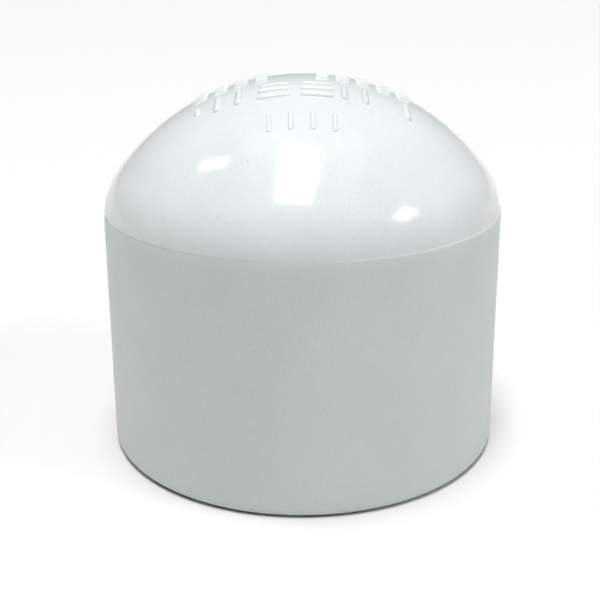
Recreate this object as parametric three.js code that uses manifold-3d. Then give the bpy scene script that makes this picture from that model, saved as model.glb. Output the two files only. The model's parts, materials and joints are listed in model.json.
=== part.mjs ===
// A domed slip-socket cap for 1 1/4 inch pressure pipe, moulded in one piece of white PVC.
// Millimetres. +Z is the cap's axis: the open mouth lies in the plane z = 0 and the dome is on top.
import * as THREE from "three";
import { mergeVertices } from "three/addons/utils/BufferGeometryUtils.js";
import Module from "manifold-3d";

// Driving dimensions: the socket, which follows the pipe that goes into it
const pipeDiameter = 42.16;
const mouthClearance = 0.38; // the socket's mouth is larger than the pipe by this, on the diameter
const stopInterference = 0.12; // the socket's bottom is smaller than the pipe by this, on the diameter
const socketDepth = 31.8;
const leadInChamfer = 0.8;

// Driving dimensions: the outside
const wallAtMouth = 4.13;
const rimChamfer = 0.8;
const skirtDraft = THREE.MathUtils.degToRad(0.5); // the skirt narrows towards the dome by this angle
const shoulderDrop = 1.88; // the shoulder's curve starts this far below the socket's bottom
const shoulderRadius = 10.0; // radius of the curve from the skirt into the crown
const domeRise = 17.33; // from the start of the shoulder's curve to the top
const domeWall = 5.0;

// Driving dimensions: the mould's parting line, a fine ridge around the shoulder
const partingRise = 1.5; // above the start of the shoulder's curve
const partingHeight = 0.1;
const partingWidth = 0.3;

// Driving dimensions: the raised bars on the dome, in three rows along X
const barHeight = 0.3;
const barRoot = 1.0; // how deep a bar is rooted in the wall
const barWidth = 0.8;
const barLength = 4.2;
const shortBarWidth = 0.6;
const shortBarLength = 3.2;
const stubLength = 1.6;
const barPitch = 2.5;
const crossBarLength = 3.9;
const crossBarPitch = 1.7;
const dashLength = 1.8; // the short bars across in the middle row
const leftBlockX = -3.3; // centres of the two blocks of bars that lie across
const rightBlockX = 1.75;
const middleRowY = 0.8;
const frontRowY = -5.8;
const shortRowY = -12.7;

// Facets
const facetsRound = 72;
const shoulderSteps = 7;
const crownSteps = 7;

// Radii and heights that follow from them
const mouthRadius = (pipeDiameter + mouthClearance) / 2;
const stopRadius = (pipeDiameter - stopInterference) / 2;
const skirtRadius = mouthRadius + wallAtMouth;
const shoulderZ = socketDepth - shoulderDrop;
const shoulderX = skirtRadius - shoulderZ * Math.tan(skirtDraft) - shoulderRadius;
// The crown is the arc that is centred on the axis, touches the shoulder's curve and reaches the top.
const crownRadius =
  (shoulderX ** 2 + domeRise ** 2 - shoulderRadius ** 2) / (2 * (domeRise - shoulderRadius));
const crownZ = shoulderZ + domeRise - crownRadius;
const joinAngle = Math.atan2(shoulderZ - crownZ, shoulderX);

function arcPoint(x, z, radius, angle) {
  return new THREE.Vector2(x + radius * Math.cos(angle), z + radius * Math.sin(angle));
}

function arc(x, z, radius, from, to, steps) {
  const points = [];
  for (let i = 0; i <= steps; i += 1) {
    points.push(arcPoint(x, z, radius, from + ((to - from) * i) / steps));
  }
  return points;
}

// The dome's half section, a given distance outside its skin, from startRise above the lower end of
// the shoulder's curve: up that curve if it reaches so high, then over the crown to the axis.
function domeSection(offset, startRise) {
  const curveRadius = shoulderRadius + offset;
  if (startRise >= curveRadius * Math.sin(joinAngle)) {
    const startAngle = Math.asin((shoulderZ + startRise - crownZ) / (crownRadius + offset));
    return crownSection(offset, startAngle);
  }
  const startAngle = Math.asin(startRise / curveRadius);
  const shoulder = arc(shoulderX, shoulderZ, curveRadius, startAngle, joinAngle, shoulderSteps);
  shoulder.pop();
  return [...shoulder, ...crownSection(offset, joinAngle)];
}

function crownSection(offset, startAngle) {
  const crown = arc(0, crownZ, crownRadius + offset, startAngle, Math.PI / 2, crownSteps);
  crown[crown.length - 1].x = 0;
  return crown;
}

// A closed half section turned about the axis, as a solid.
function turned(wasm, section) {
  const lathe = new THREE.LatheGeometry([...section, section[0]], facetsRound);
  return solidOf(wasm, lathe.rotateX(Math.PI / 2));
}

function solidOf(wasm, geometry) {
  geometry.deleteAttribute("normal");
  geometry.deleteAttribute("uv");
  const merged = mergeVertices(geometry, 1e-4);
  return new wasm.Manifold(
    new wasm.Mesh({
      numProp: 3,
      vertProperties: merged.attributes.position.array,
      triVerts: new Uint32Array(merged.index.array),
    }),
  );
}

// Skirt, parting ridge and dome on the outside, then the hollow dome, the pipe stop and the tapered
// socket on the inside.
function bodySection() {
  const halfRidge = partingWidth / 2 / shoulderRadius;
  const ridgeAngle = Math.asin(partingRise / shoulderRadius);
  const ridgeTopRise = shoulderRadius * Math.sin(ridgeAngle + halfRidge);
  const mouthFaceOuter = new THREE.Vector2(skirtRadius - rimChamfer, 0);
  const rimEdge = new THREE.Vector2(skirtRadius, rimChamfer);
  const shoulderStart = arcPoint(shoulderX, shoulderZ, shoulderRadius, 0);
  const ridgeFoot = arcPoint(shoulderX, shoulderZ, shoulderRadius, ridgeAngle - halfRidge);
  const ridgeTop = arcPoint(shoulderX, shoulderZ, shoulderRadius + partingHeight, ridgeAngle);
  const outerDome = domeSection(0, ridgeTopRise);
  const innerDome = domeSection(-domeWall, shoulderDrop).reverse();
  const stopEdge = new THREE.Vector2(stopRadius, socketDepth);
  const boreStart = new THREE.Vector2(mouthRadius, leadInChamfer);
  const mouthFaceInner = new THREE.Vector2(mouthRadius + leadInChamfer, 0);
  return [
    mouthFaceOuter,
    rimEdge,
    shoulderStart,
    ridgeFoot,
    ridgeTop,
    ...outerDome,
    ...innerDome,
    stopEdge,
    boreStart,
    mouthFaceInner,
  ];
}

// A layer that follows the dome, from a bar's root in the wall to its raised face.
function barLayer(wasm) {
  return turned(wasm, [...domeSection(barHeight, 0), ...domeSection(-barRoot, 0).reverse()]);
}

// One bar's footprint, through the whole height of the dome.
function barPrism(wasm, x, y, lengthX, lengthY) {
  const box = new THREE.BoxGeometry(lengthX, lengthY, domeRise * 2);
  return solidOf(wasm, box.translate(x, y, shoulderZ + domeRise));
}

// Bars side by side, from first to last pitches away from the axis.
function uprightBars(wasm, first, last, y, width, length) {
  const bars = [];
  for (let i = first; i <= last; i += 1) {
    bars.push(barPrism(wasm, i * barPitch, y, width, length));
  }
  return bars;
}

// Three bars across, one behind another.
function crossBars(wasm, x, y, length) {
  return [-1, 0, 1].map((i) => barPrism(wasm, x, y + i * crossBarPitch, length, barWidth));
}

function raisedBars(wasm) {
  const dashes = [-5, -4, -3, -2, 1, 2, 3, 4, 5].flatMap((i) =>
    crossBars(wasm, i * barPitch, middleRowY, dashLength),
  );
  const bars = [
    ...dashes,
    ...uprightBars(wasm, -5, -5, frontRowY, barWidth, stubLength),
    ...uprightBars(wasm, -4, -3, frontRowY, barWidth, barLength),
    ...crossBars(wasm, leftBlockX, frontRowY, crossBarLength),
    ...crossBars(wasm, rightBlockX, frontRowY, crossBarLength),
    ...uprightBars(wasm, 2, 3, frontRowY, barWidth, barLength),
    ...uprightBars(wasm, 5, 5, frontRowY, barWidth, barLength),
    ...uprightBars(wasm, -1.5, 1.5, shortRowY, shortBarWidth, shortBarLength),
  ];
  const prisms = bars.reduce((all, bar) => all.add(bar));
  return barLayer(wasm).intersect(prisms);
}

function geometryOf(solid) {
  const mesh = solid.getMesh();
  const geometry = new THREE.BufferGeometry();
  geometry.setAttribute("position", new THREE.BufferAttribute(mesh.vertProperties, mesh.numProp));
  geometry.setIndex(new THREE.BufferAttribute(mesh.triVerts, 1));
  geometry.computeVertexNormals();
  return geometry;
}

const wasm = await Module();
wasm.setup();

const whitePvc = new THREE.MeshStandardMaterial({ color: 0xdfe3e2, roughness: 0.3, metalness: 0 });
const capBody = new THREE.Mesh(geometryOf(turned(wasm, bodySection()).add(raisedBars(wasm))), whitePvc);
capBody.name = "cap_body";

const pipeCap = new THREE.Group();
pipeCap.add(capBody);

export default pipeCap;
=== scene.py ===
# White PVC slip cap, one moulding, standing on its mouth on a pale table.
import bpy
import json
import math
from mathutils import Euler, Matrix, Quaternion, Vector, noise
from mathutils.geometry import delaunay_2d_cdt


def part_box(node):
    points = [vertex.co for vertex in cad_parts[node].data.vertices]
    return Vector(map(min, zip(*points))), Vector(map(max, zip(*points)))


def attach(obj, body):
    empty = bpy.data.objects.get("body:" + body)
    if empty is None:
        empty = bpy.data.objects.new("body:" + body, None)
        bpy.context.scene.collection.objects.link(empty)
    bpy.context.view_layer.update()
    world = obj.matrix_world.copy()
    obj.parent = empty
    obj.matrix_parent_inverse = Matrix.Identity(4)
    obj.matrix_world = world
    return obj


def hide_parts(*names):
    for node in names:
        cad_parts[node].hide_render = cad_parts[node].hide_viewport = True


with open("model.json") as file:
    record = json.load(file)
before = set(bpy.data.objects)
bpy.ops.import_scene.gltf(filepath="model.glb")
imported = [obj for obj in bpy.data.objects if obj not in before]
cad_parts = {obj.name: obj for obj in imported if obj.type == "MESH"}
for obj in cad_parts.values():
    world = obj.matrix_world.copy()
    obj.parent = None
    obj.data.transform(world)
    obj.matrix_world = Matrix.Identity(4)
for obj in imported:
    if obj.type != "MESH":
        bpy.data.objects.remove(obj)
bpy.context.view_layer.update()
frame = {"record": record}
capLow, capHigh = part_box("cap_body")
mounts = {mount["name"]: mount for mount in frame["record"]["mounts"]}
mm = 0.001
sameSpot = 0.002 * mm              # points closer than this are one point
print("frame loaded, cap is", round((capHigh.x - capLow.x) / mm, 2), "mm across")

# the moulding's half section, drawn up the outside and back down the inside
cap = {
    "skirtRadius": (capHigh.x - capLow.x) / 2,    # outside, at the mouth
    "socketDepth": mounts["pipe_stop"]["pos_m"][2],
    "wallAtMouth": 4.13 * mm,
    "socketTaper": 0.25 * mm,      # the bore is this much smaller at the stop, on the radius
    "leadIn": 0.8 * mm,
    "skirtDraft": math.radians(0.5),
    "shoulderDrop": 1.88 * mm,     # the shoulder starts this far below the pipe stop
    "shoulderRadius": 10.0 * mm,
    "domeRise": 17.33 * mm,
    "domeWall": 5.0 * mm,
    "rimRound": 1.2 * mm,
    "mouthRound": 0.2 * mm,
    "stopRound": 0.3 * mm,
    "sidesRound": 288,
    "patchRadius": 17.0 * mm,      # inside this radius the dome is a patch that carries the bars
}

parting = {
    "rise": 1.5 * mm,              # above the start of the shoulder
    "width": 0.32 * mm,
    "flashHeight": 0.005 * mm,     # the fine ridge that the mould's joint leaves
    "flashEvenness": 0.6,
    "flashPatches": 0.9,           # how much the ridge comes and goes on its way round
    "patchesRound": 4,
    "mismatch": 0.1 * mm,          # how far the two halves of the mould were out of line
    "mismatchTurn": math.radians(-3),
    "mismatchWidth": 0.09 * mm,
    "mismatchFade": 2.5 * mm,
}

# how many straight pieces stand for each curve
fineness = {
    "rim": 10,
    "belowParting": 6,
    "parting": 24,
    "aboveParting": 20,
    "crown": 12,
    "hollowCrown": 24,
    "hollowShoulder": 12,
    "smallCorner": 5,
    "barFoot": 3,
    "barTop": 4,
    "barEnd": 6,
}

mouthBore = cap["skirtRadius"] - cap["wallAtMouth"]
stopBore = mouthBore - cap["socketTaper"]
shoulderZ = cap["socketDepth"] - cap["shoulderDrop"]
skirtTop = cap["skirtRadius"] - shoulderZ * math.tan(cap["skirtDraft"])
shoulderX = skirtTop - cap["shoulderRadius"]
riseOverShoulder = cap["domeRise"] - cap["shoulderRadius"]
crownRadius = (shoulderX ** 2 + cap["domeRise"] ** 2 - cap["shoulderRadius"] ** 2) / (2 * riseOverShoulder)
crownZ = shoulderZ + cap["domeRise"] - crownRadius
joinAngle = math.atan2(shoulderZ - crownZ, shoulderX)
partingAngle = math.asin(parting["rise"] / cap["shoulderRadius"])


def straightRun(start, end, longest=1.2 * mm):
    # points along a line, with the normal that faces out of the plastic
    run = Vector(end) - Vector(start)
    normal = Vector((run.y, -run.x)).normalized()
    count = max(1, math.ceil(run.length / longest))
    return [(*(Vector(start) + run * (i / count)), *normal) for i in range(count + 1)]


def arcRun(centre, radius, startAngle, endAngle, steps, facing=1):
    # facing is 1 where the plastic is inside the arc, -1 where it is outside
    points = []
    for i in range(steps + 1):
        angle = startAngle + (endAngle - startAngle) * i / steps
        c, s = math.cos(angle), math.sin(angle)
        points.append((centre[0] + radius * c, centre[1] + radius * s, facing * c, facing * s))
    return points


def roundedCorner(before, corner, after, radius, steps=fineness["smallCorner"]):
    # an arc that touches both legs of a corner
    legIn = (Vector(corner) - Vector(before)).normalized()
    legOut = (Vector(after) - Vector(corner)).normalized()
    turn = math.atan2(legIn.x * legOut.y - legIn.y * legOut.x, legIn.dot(legOut))
    side = 1 if turn > 0 else -1
    start = Vector(corner) - legIn * radius * math.tan(abs(turn) / 2)
    centre = start + Vector((-legIn.y, legIn.x)) * radius * side
    startAngle = math.atan2(start.y - centre.y, start.x - centre.x)
    return arcRun(centre, radius, startAngle, startAngle + turn, steps, side)


def joined(*runs):
    # one list of points, without the doubles where runs meet
    points = []
    for run in runs:
        for point in run:
            if not points or math.dist(points[-1][:2], point[:2]) > sameSpot:
                points.append(point)
    return points


def partingLift(angle, turn):
    # how far the joint of the mould lifts the skin, and the slope of that, at a place on the shoulder
    along = (angle - partingAngle) * cap["shoulderRadius"]
    waves = parting["patchesRound"]
    patch = noise.noise(Vector((math.cos(turn) * waves, math.sin(turn) * waves, 0.3)))
    patchy = parting["flashEvenness"] + parting["flashPatches"] * patch
    offset = -parting["mismatch"] / 2 * math.cos(turn - parting["mismatchTurn"])
    step = math.tanh(along / parting["mismatchWidth"])
    fade = math.exp(-abs(along) / parting["mismatchFade"])
    lift = offset * step * fade
    stepSlope = (1 - step ** 2) / parting["mismatchWidth"]
    slope = offset * fade * (stepSlope - abs(step) / parting["mismatchFade"])
    half = parting["width"] / 2
    if abs(along) < half:
        flash = parting["flashHeight"] * patchy
        lift += flash * math.cos(along / half * math.pi / 2) ** 2
        slope -= flash * math.pi / 2 / half * math.sin(along / half * math.pi)
    return lift, slope


def shoulderRun():
    # the shoulder's arc, with close steps over the parting ridge
    ridge = parting["width"] / cap["shoulderRadius"]
    stretches = (
        (0, partingAngle - ridge, fineness["belowParting"]),
        (partingAngle - ridge, partingAngle + ridge, fineness["parting"]),
        (partingAngle + ridge, joinAngle, fineness["aboveParting"]),
    )
    angles = [low + (high - low) * i / steps for low, high, steps in stretches for i in range(steps)]
    angles.append(joinAngle)
    centre = (shoulderX, shoulderZ)
    return [arcRun(centre, cap["shoulderRadius"], angle, angle, 1)[0] + (angle,) for angle in angles]


def outsideSections():
    # rim edge, skirt, shoulder and crown, from the table up
    foot = (cap["skirtRadius"], 0)
    edge = roundedCorner((0, 0), foot, (skirtTop, shoulderZ), cap["rimRound"], fineness["rim"])
    skirt = straightRun(edge[-1][:2], (skirtTop, shoulderZ))
    patchAngle = math.acos(cap["patchRadius"] / crownRadius)
    crown = arcRun((0, crownZ), crownRadius, joinAngle, patchAngle, fineness["crown"])
    return edge, skirt, shoulderRun(), crown


def insideSections():
    # hollow dome, pipe stop, socket and mouth, from the top of the hollow down
    hollowRadius = cap["shoulderRadius"] - cap["domeWall"]
    stopAngle = math.asin(cap["shoulderDrop"] / hollowRadius)
    hollowCrown = crownRadius - cap["domeWall"]
    crown = arcRun((0, crownZ), hollowCrown, math.pi / 2, joinAngle, fineness["hollowCrown"], -1)
    shoulderCentre = (shoulderX, shoulderZ)
    shoulderSteps = fineness["hollowShoulder"]
    shoulder = arcRun(shoulderCentre, hollowRadius, joinAngle, stopAngle, shoulderSteps, -1)
    stopEdge = shoulder[-1][:2]
    aboveStop = (stopEdge[0] - math.sin(stopAngle) * mm, stopEdge[1] + math.cos(stopAngle) * mm)
    stopCorner = (stopBore, cap["socketDepth"])
    chamferTop = (mouthBore, cap["leadIn"])
    chamferFoot = (mouthBore + cap["leadIn"], 0)
    lip = roundedCorner(aboveStop, stopEdge, stopCorner, cap["stopRound"])
    corner = roundedCorner(stopEdge, stopCorner, chamferTop, cap["stopRound"])
    leadTop = roundedCorner(stopCorner, chamferTop, chamferFoot, cap["mouthRound"])
    leadFoot = roundedCorner(chamferTop, chamferFoot, (cap["skirtRadius"], 0), cap["mouthRound"])
    hollow = joined(crown, [p for p in shoulder if p[1] > lip[0][1]], lip)
    stop = joined(straightRun(lip[-1][:2], corner[0][:2]), corner)
    socket = joined(straightRun(corner[-1][:2], leadTop[0][:2]), leadTop, leadFoot)
    return hollow, stop, socket


# raised bars on the dome: plain strokes in three rows
bars = {
    "height": 0.3 * mm,
    "width": 0.95 * mm,            # at the foot
    "length": 4.3 * mm,
    "stubLength": 1.7 * mm,
    "crossLength": 4.0 * mm,
    "dashLength": 1.9 * mm,
    "shortLength": 3.2 * mm,
    "shortWidth": 0.62 * mm,
    "shortShare": 0.5,             # height of the short bars, against the others
    "pitch": 2.5 * mm,
    "crossPitch": 1.7 * mm,
    "blocks": (-3.3 * mm, 1.75 * mm),
    "middleRow": 0.8 * mm,
    "frontRow": -5.8 * mm,
    "shortRow": -12.7 * mm,
    "endRound": 0.43 * mm,
    "endShare": 0.45,              # most of a bar's width that one rounded end may take
    "flankAngle": math.radians(50),
    "footRound": 0.12 * mm,
    "topRound": 0.24 * mm,
    "sideStep": 0.5 * mm,          # longest step along a bar's straight side
    "grid": 0.85 * mm,             # spacing of the dome's points between the bars
    "gridGap": 0.4,                # clear space round a bar, in grid spacings
}


def barPlaces():
    # centre, size along X and Y, and share of the full height of every bar
    def upright(first, last, row, length, width=bars["width"], share=1):
        count = round(last - first) + 1
        return [((first + i) * bars["pitch"], bars[row], width, length, share) for i in range(count)]

    def across(x, row, length):
        return [(x, bars[row] + i * bars["crossPitch"], length, bars["width"], 1) for i in (-1, 0, 1)]

    places = []
    for i in (-5, -4, -3, -2, 1, 2, 3, 4, 5):
        places += across(i * bars["pitch"], "middleRow", bars["dashLength"])
    places += upright(-5, -5, "frontRow", bars["stubLength"])
    places += upright(-4, -3, "frontRow", bars["length"])
    for x in bars["blocks"]:
        places += across(x, "frontRow", bars["crossLength"])
    places += upright(2, 3, "frontRow", bars["length"])
    places += upright(5, 5, "frontRow", bars["length"])
    places += upright(-1.5, 1.5, "shortRow", bars["shortLength"], bars["shortWidth"], bars["shortShare"])
    return places


def flankSteps(share):
    # (distance in from the foot, height, slope) from the foot's fillet to the rounded top edge
    tilt, foot, top = bars["flankAngle"], bars["footRound"] * share, bars["topRound"] * share
    steps = []
    for i in range(fineness["barFoot"] + 1):
        angle = tilt * i / fineness["barFoot"]
        steps.append((foot * math.sin(angle), foot * (1 - math.cos(angle)), math.tan(angle)))
    straight = bars["height"] * share - (foot + top) * (1 - math.cos(tilt))
    reach = steps[-1][0] + straight / math.tan(tilt)
    rise = steps[-1][1] + straight
    for i in range(fineness["barTop"] + 1):
        angle = tilt * (1 - i / fineness["barTop"])
        out = top * (math.sin(tilt) - math.sin(angle))
        steps.append((reach + out, rise + top * (math.cos(angle) - math.cos(tilt)), math.tan(angle)))
    return steps


def barOutline(place, inset):
    # a rounded rectangle drawn inside the bar's foot, as (x, y, direction out)
    x, y, sizeX, sizeY, _ = place
    halfX, halfY = sizeX / 2, sizeY / 2
    corner = min(bars["endRound"], bars["endShare"] * sizeX, bars["endShare"] * sizeY)
    points = []
    for quarter, (sx, sy) in enumerate(((1, 1), (-1, 1), (-1, -1), (1, -1))):
        middle = Vector((x + sx * (halfX - corner), y + sy * (halfY - corner)))
        for i in range(fineness["barEnd"] + 1):
            angle = (quarter + i / fineness["barEnd"]) * math.pi / 2
            out = Vector((math.cos(angle), math.sin(angle)))
            points.append((middle + out * (corner - inset), out))
        # the straight side that follows this corner
        span = 2 * ((halfX - corner) if quarter % 2 == 0 else (halfY - corner))
        heading = Vector((-math.sin((quarter + 1) * math.pi / 2), math.cos((quarter + 1) * math.pi / 2)))
        start, out = points[-1]
        count = math.ceil(span / bars["sideStep"])
        points += [(start + heading * span * i / count, out) for i in range(1, count)]
    return points


def domePoint(x, y, height):
    # a point at a height over the crown, and the crown's normal there
    normal = Vector((x, y, math.sqrt(crownRadius ** 2 - x * x - y * y))) / crownRadius
    return Vector((0, 0, crownZ)) + normal * (crownRadius + height), normal


def clearOfBars(x, y, places, gap):
    for cx, cy, sizeX, sizeY, _ in places:
        if abs(x - cx) < sizeX / 2 + gap and abs(y - cy) < sizeY / 2 + gap:
            return False
    return True


def gridBetweenBars(places):
    # points in staggered rows over the rest of the patch
    step = bars["grid"]
    rows = math.ceil(cap["patchRadius"] / step)
    points = []
    for row in range(-rows, rows + 1):
        for column in range(-rows - 1, rows + 2):
            x, y = (column + (row % 2) / 2) * step, row * step * math.sqrt(3) / 2
            inside = math.hypot(x, y) < cap["patchRadius"] - 0.5 * step
            if inside and clearOfBars(x, y, places, bars["gridGap"] * step):
                points.append(Vector((x, y)))
    return points


def crownPatch(rim):
    # the top of the dome with its bars, as one sheet whose edge is the ring of points called rim
    places = barPlaces()
    flat = [Vector(p[:2]) for p in rim]
    lift = [(0, 0, None)] * len(rim)
    edges = [(i, (i + 1) % len(rim)) for i in range(len(rim))]
    for place in places:
        for inset, height, slope in flankSteps(place[4]):
            outline = barOutline(place, inset)
            first = len(flat)
            for i, (point, out) in enumerate(outline):
                flat.append(point)
                lift.append((height, slope, out))
                edges.append((first + i, first + (i + 1) % len(outline)))
    between = gridBetweenBars(places)
    flat += between
    lift += [(0, 0, None)] * len(between)
    flatOut, _, faces, sources, _, _ = delaunay_2d_cdt(flat, edges, [], 0, 1e-9)
    points, normals, onRim = [], [], []
    for place, source in zip(flatOut, sources):
        height, slope, out = lift[source[0]] if source else (0, 0, None)
        point, normal = domePoint(place.x, place.y, height)
        if out is not None and slope:
            outward = Vector((out.x, out.y, 0))
            outward = (outward - normal * outward.dot(normal)).normalized()
            normal = (normal + outward * slope).normalized()
        points.append(point)
        normals.append(normal)
        onRim.append(source[0] if source and source[0] < len(rim) else None)
    return points, normals, faces, onRim


# plastic: one white compound, with the finish that each face of the mould gave it; its tint is painted a few
# per cent lighter on the dome than on the skirt and socket, as painted light and painted shade
plastic = {
    "refractiveIndex": 1.53,
    "translucence": 0.6,
    "scatter": (0.9, 0.9, 0.8),    # how far light spreads inside, in millimetres
    "clouding": 0.02,              # paler and darker patches of the compound
    "clouds": 140,                 # patterns are sized in blotches per metre
    "mottle": 0.035,
    "mottles": 3600,
    "speckColour": (0.30, 0.29, 0.26),
    "speckCells": 1000,
    "speckShare": 0.05,            # the part of the cells that hold a burnt speck
    "speckReach": 0.17,            # largest speck's radius, in cells
    "speckEdge": 0.08,
    "speckDepth": 0.5,
    "smears": 260,
    "smearRange": (0.85, 1.2),     # roughness where the gloss is best and where it is worst
    "peels": 420,
    "peelDepth": 0.1 * mm,
    "grains": 3200,
    "streaks": 900,
    "streakStretch": (1, 1, 0.04),
    "grainDepth": 0.02 * mm,
}

finishes = {
    "dome": {
        # a few per cent lighter than the skirt's tint: painted light on the same plastic
        "tintWithPaintedLight": (0.645, 0.682, 0.679),
        "shine": 0.23,
        "roughness": 0.12,
        "peel": 0.05,
        "grain": 0.0,
    },
    "skirt": {
        # a few per cent darker than the dome's tint: painted shade on the same plastic
        "tintWithPaintedLight": (0.618, 0.670, 0.655),
        "shine": 0.2,
        "roughness": 0.42,
        "peel": 0.04,
        "grain": 0.3,
    },
    "socket": {
        # the skirt's darker tint: painted shade on the same plastic
        "tintWithPaintedLight": (0.618, 0.670, 0.655),
        "shine": 0.2,
        "roughness": 0.34,
        "peel": 0.04,
        "grain": 0.1,
    },
}


class Nodes:
    # short ways to add and join the nodes of a material or of the world
    def __init__(self, tree, place="Object"):
        self.tree = tree
        self.place = tree.nodes.new("ShaderNodeTexCoord").outputs[place]

    def add(self, kind, values, **settings):
        node = self.tree.nodes.new(kind)
        for name, value in settings.items():
            setattr(node, name, value)
        for name, value in values.items():
            self.plug(node.inputs[name], value)
        return node

    def plug(self, socket, value):
        # a link where the value is another node's output, else a fixed value
        if isinstance(value, bpy.types.NodeSocket):
            self.tree.links.new(value, socket)
        else:
            socket.default_value = value

    def noise(self, scale, detail=3, stretch=None):
        # stretch squeezes the pattern along its own axes
        place = self.place
        if stretch:
            place = self.add("ShaderNodeMapping", {"Vector": place, "Scale": stretch}).outputs["Vector"]
        values = {"Vector": place, "Scale": scale, "Detail": detail}
        return self.add("ShaderNodeTexNoise", values).outputs["Fac"]

    def remap(self, value, fromRange, toRange):
        values = {"Value": value, "From Min": fromRange[0], "From Max": fromRange[1]}
        values |= {"To Min": toRange[0], "To Max": toRange[1]}
        return self.add("ShaderNodeMapRange", values).outputs["Result"]

    def maths(self, operation, first, second):
        return self.add("ShaderNodeMath", {0: first, 1: second}, operation=operation).outputs[0]

    def mix(self, factor, first, second, blend="MIX"):
        # the inputs go by number, because each kind of data has its own A and B
        values = {0: factor, 6: first, 7: second}
        return self.add("ShaderNodeMix", values, data_type="RGBA", blend_type=blend).outputs[2]

    def bump(self, height, strength, distance, below=None):
        values = {"Height": height, "Strength": strength, "Distance": distance}
        if below:
            values["Normal"] = below
        return self.add("ShaderNodeBump", values).outputs["Normal"]


noiseSpan = (0.3, 0.7)             # where nearly all of a noise pattern's values lie


def compoundColour(nodes, tintWithPaintedLight):
    # clouding, fine mottle and a few burnt specks, over a tint that holds each finish's painted light and
    # shade
    shades = []
    for size, change in ((plastic["clouds"], plastic["clouding"]), (plastic["mottles"], plastic["mottle"])):
        shades.append(nodes.remap(nodes.noise(size, 4), noiseSpan, (1 - change, 1 + change)))
    shade = nodes.maths("MULTIPLY", *shades)
    channels = {"Red": shade, "Green": shade, "Blue": shade}
    grey = nodes.add("ShaderNodeCombineColor", channels).outputs["Color"]
    colour = nodes.mix(1.0, (*tintWithPaintedLight, 1), grey, "MULTIPLY")
    cells = nodes.add("ShaderNodeTexVoronoi", {"Vector": nodes.place, "Scale": plastic["speckCells"]})
    chance = nodes.add("ShaderNodeSeparateColor", {"Color": cells.outputs["Color"]}).outputs["Red"]
    reach = nodes.remap(chance, (1 - plastic["speckShare"], 1), (0, plastic["speckReach"]))
    edge = nodes.maths("SUBTRACT", reach, cells.outputs["Distance"])
    speck = nodes.remap(edge, (0, plastic["speckEdge"]), (0, plastic["speckDepth"]))
    return nodes.mix(speck, colour, (*plastic["speckColour"], 1))


def plasticMaterial(name, finish):
    material = bpy.data.materials.new(name)
    material.use_nodes = True
    nodes = Nodes(material.node_tree)
    shader = material.node_tree.nodes["Principled BSDF"]
    settings = {
        "IOR": plastic["refractiveIndex"],
        "Specular IOR Level": finish["shine"],
        "Subsurface Weight": plastic["translucence"],
        "Subsurface Radius": plastic["scatter"],
        "Subsurface Scale": mm,
    }
    for setting, value in settings.items():
        shader.inputs[setting].default_value = value
    best, worst = plastic["smearRange"]
    smear = nodes.noise(plastic["smears"], 6)
    gloss = nodes.remap(smear, noiseSpan, (finish["roughness"] * best, finish["roughness"] * worst))
    normal = nodes.bump(nodes.noise(plastic["peels"], 2), finish["peel"], plastic["peelDepth"])
    if finish["grain"]:
        for pattern in (
            nodes.noise(plastic["grains"], 2),
            nodes.noise(plastic["streaks"], 3, plastic["streakStretch"]),
        ):
            normal = nodes.bump(pattern, finish["grain"], plastic["grainDepth"], normal)
    nodes.plug(shader.inputs["Base Color"], compoundColour(nodes, finish["tintWithPaintedLight"]))
    nodes.plug(shader.inputs["Roughness"], gloss)
    nodes.plug(shader.inputs["Normal"], normal)
    return material


def capRings():
    # (radius, z, normal r, normal z, parting angle or None, finish of the strip that starts there) of every
    # ring, and how many of them are outside
    rings = []

    def addRun(run, finish):
        for point in run:
            if rings and math.dist(rings[-1][:2], point[:2]) < sameSpot:
                continue
            angle = point[4] if len(point) > 4 else None
            belowParting = angle is not None and angle < partingAngle
            rings.append((*point[:4], angle, "skirt" if belowParting else finish))

    for run, finish in zip(outsideSections(), ("skirt", "skirt", "dome", "dome")):
        addRun(run, finish)
    outerCount = len(rings)
    hollow, stop, socket = insideSections()
    for run in (hollow[1:], stop, socket):
        addRun(run, "socket")
    return rings, outerCount, hollow[0]


def turnedSkin(rings):
    # the rings turned round the axis, with the normal of each point
    points, normals = [], []
    for radius, z, normalR, normalZ, angle, _ in rings:
        for i in range(cap["sidesRound"]):
            turn = math.tau * i / cap["sidesRound"]
            c, s = math.cos(turn), math.sin(turn)
            out, up, nr, nz = radius, z, normalR, normalZ
            if angle is not None:
                lift, slope = partingLift(angle, turn)
                out, up = out + normalR * lift, up + normalZ * lift
                nr, nz = nr + normalZ * slope, nz - normalR * slope
                length = math.hypot(nr, nz)
                nr, nz = nr / length, nz / length
            points.append(Vector((out * c, out * s, up)))
            normals.append(Vector((nr * c, nr * s, nz)))
    return points, normals


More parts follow.
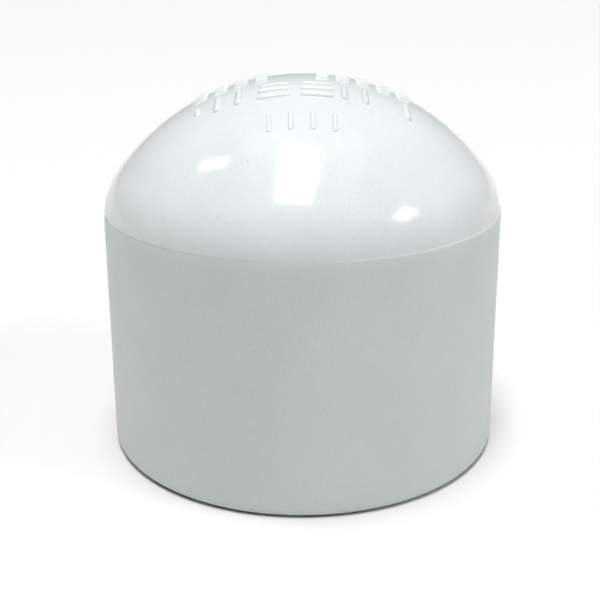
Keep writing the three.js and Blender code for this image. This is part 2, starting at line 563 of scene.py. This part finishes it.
def capSkin():
    # points, normals, faces and the finish of each face of the whole closed moulding
    sides = cap["sidesRound"]
    rings, outerCount, hollowTop = capRings()
    points, normals = turnedSkin(rings)
    faces, surfaces = [], []

    def addFaces(more, finish):
        faces.extend(more)
        surfaces.extend([finish] * len(more))

    def strip(low, high):
        pairs = [(i, (i + 1) % sides) for i in range(sides)]
        return [(low * sides + i, low * sides + k, high * sides + k, high * sides + i) for i, k in pairs]

    for low in range(len(rings) - 1):
        if low != outerCount - 1:
            addFaces(strip(low, low + 1), rings[low][5])
    addFaces(strip(len(rings) - 1, 0), "socket")

    # the top of the hollow, facing down
    tip = len(points)
    points.append(Vector((0, 0, hollowTop[1])))
    normals.append(Vector((0, 0, -1)))
    first = outerCount * sides
    addFaces([(tip, first + (i + 1) % sides, first + i) for i in range(sides)], "socket")

    # the patch with the bars, sewn to the last ring outside
    first = (outerCount - 1) * sides
    patchPoints, patchNormals, patchFaces, onRim = crownPatch(points[first:first + sides])
    numbers = []
    for point, normal, ringIndex in zip(patchPoints, patchNormals, onRim):
        if ringIndex is not None:
            numbers.append(first + ringIndex)
            continue
        numbers.append(len(points))
        points.append(point)
        normals.append(normal)
    addFaces([tuple(numbers[i] for i in face) for face in patchFaces], "dome")
    return points, normals, faces, surfaces


def buildCap():
    points, normals, faces, surfaces = capSkin()
    mesh = bpy.data.meshes.new("capMoulding")
    mesh.from_pydata(points, [], faces)
    for finish in finishes:
        mesh.materials.append(plasticMaterial("whitePvc_" + finish, finishes[finish]))
    order = list(finishes)
    mesh.polygons.foreach_set("material_index", [order.index(finish) for finish in surfaces])
    mesh.polygons.foreach_set("use_smooth", [True] * len(faces))
    mesh.validate()
    mesh.normals_split_custom_set_from_vertices(normals)
    moulding = bpy.data.objects.new("capMoulding", mesh)
    bpy.context.scene.collection.objects.link(moulding)
    return moulding


moulding = buildCap()
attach(moulding, "root")
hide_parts("cap_body")
print("cap moulded,", len(moulding.data.polygons), "faces")

# table and studio light
studio = {
    "tableSize": 6.0,
    "tableWhite": (0.685, 0.685, 0.685),
    "tableRoughness": 0.9,
    "tableShine": 0.1,
    # brightness of the backdrop by how steeply one looks up
    "backdrop": ((0.0, 0.35), (0.05, 0.2), (0.2, 0.07), (0.4, 0.02)),
    "lampAim": 0.8,                # height that the lamps point at, as a share of the crown's radius
}

# where each lamp stands as a direction and a distance, its width and height, turn in degrees, power in watts
lamps = {
    "softbox": {
        "from": (-0.034, -0.13, 0.99),
        "distance": 6.0,
        "size": (1.70, 3.4),
        "turn": 7,
        "power": 368,
    },
    "ceiling": {
        "from": (0.0, -0.05, 1.0),
        "distance": 5.9,
        "size": (5.0, 5.0),
        "turn": 0,
        "power": 125,
    },
    "leftStrip": {
        "from": (-0.545, 0.194, 0.816),
        "distance": 4.0,
        "size": (0.34, 0.84),
        "turn": -8,
        "power": 14,
    },
    "rightStrip": {
        "from": (0.744, -0.243, 0.622),
        "distance": 4.0,
        "size": (1.15, 0.80),
        "turn": 17,
        "power": 33,
    },
    "leftFill": {
        "from": (-1.0, 0.0, 0.6),
        "distance": 4.0,
        "size": (3.7, 2.9),
        "turn": 0,
        "power": 2,
    },
    "rightFill": {
        "from": (1.0, 0.0, 0.6),
        "distance": 4.0,
        "size": (3.7, 2.9),
        "turn": 0,
        "power": 2,
    },
}


def table():
    half = studio["tableSize"] / 2
    mesh = bpy.data.meshes.new("table")
    corners = [(-half, -half, 0), (half, -half, 0), (half, half, 0), (-half, half, 0)]
    mesh.from_pydata(corners, [], [(0, 1, 2, 3)])
    top = bpy.data.objects.new("table", mesh)
    bpy.context.scene.collection.objects.link(top)
    material = bpy.data.materials.new("tablePaper")
    material.use_nodes = True
    shader = material.node_tree.nodes["Principled BSDF"]
    shader.inputs["Base Color"].default_value = (*studio["tableWhite"], 1)
    shader.inputs["Roughness"].default_value = studio["tableRoughness"]
    shader.inputs["Specular IOR Level"].default_value = studio["tableShine"]
    mesh.materials.append(material)
    top.location.z = capLow.z
    return top


def softLight(name, lamp, aim):
    data = bpy.data.lights.new(name, "AREA")
    data.shape = "RECTANGLE"
    data.size, data.size_y = lamp["size"]
    data.energy = lamp["power"]
    light = bpy.data.objects.new(name, data)
    light.location = aim + Vector(lamp["from"]).normalized() * lamp["distance"]
    facing = (light.location - aim).to_track_quat("Z", "Y")
    light.rotation_euler = (facing @ Quaternion((0, 0, 1), math.radians(lamp["turn"]))).to_euler()
    bpy.context.scene.collection.objects.link(light)


def studioWorld():
    # pale at the horizon and dim above, as a room around a lit table
    world = bpy.data.worlds.new("studio")
    world.use_nodes = True
    nodes = Nodes(world.node_tree, "Generated")
    height = nodes.add("ShaderNodeSeparateXYZ", {"Vector": nodes.place}).outputs["Z"]
    ramp = nodes.add("ShaderNodeValToRGB", {"Fac": height})
    (_, first), *middle, (lastHeight, last) = studio["backdrop"]
    ends = ramp.color_ramp.elements
    ends[0].color = (first, first, first, 1)
    ends[1].position = lastHeight
    ends[1].color = (last, last, last, 1)
    for position, grey in middle:
        ends.new(position).color = (grey, grey, grey, 1)
    nodes.plug(world.node_tree.nodes["Background"].inputs["Color"], ramp.outputs["Color"])
    return world


table()
domeMiddle = Vector((0, 0, crownZ + crownRadius * studio["lampAim"]))
for name, lamp in lamps.items():
    softLight(name, lamp, domeMiddle)
bpy.context.scene.world = studioWorld()
bpy.context.scene.view_settings.view_transform = "Standard"
print("table and lights set")

# camera: in front, a little above the dome
view = {
    "distance": 0.13595,
    "height": 0.06913,
    "tiltDown": math.radians(20.70),
    "turnLeft": math.radians(0.15),
    "roll": math.radians(-0.30),
    "lens": 65.76,
    "sensor": 36,
    "near": 0.01,
    "far": 20,
}
camera = bpy.data.objects.new("camera", bpy.data.cameras.new("camera"))
camera.data.lens = view["lens"]
camera.data.sensor_width = view["sensor"]
camera.data.clip_start = view["near"]
camera.data.clip_end = view["far"]
camera.location = (0, -view["distance"], capLow.z + view["height"])
aim = Euler((math.pi / 2 - view["tiltDown"], 0, view["turnLeft"])).to_matrix()
camera.rotation_euler = (aim @ Euler((0, 0, view["roll"])).to_matrix()).to_euler()
bpy.context.scene.collection.objects.link(camera)
bpy.context.scene.camera = camera
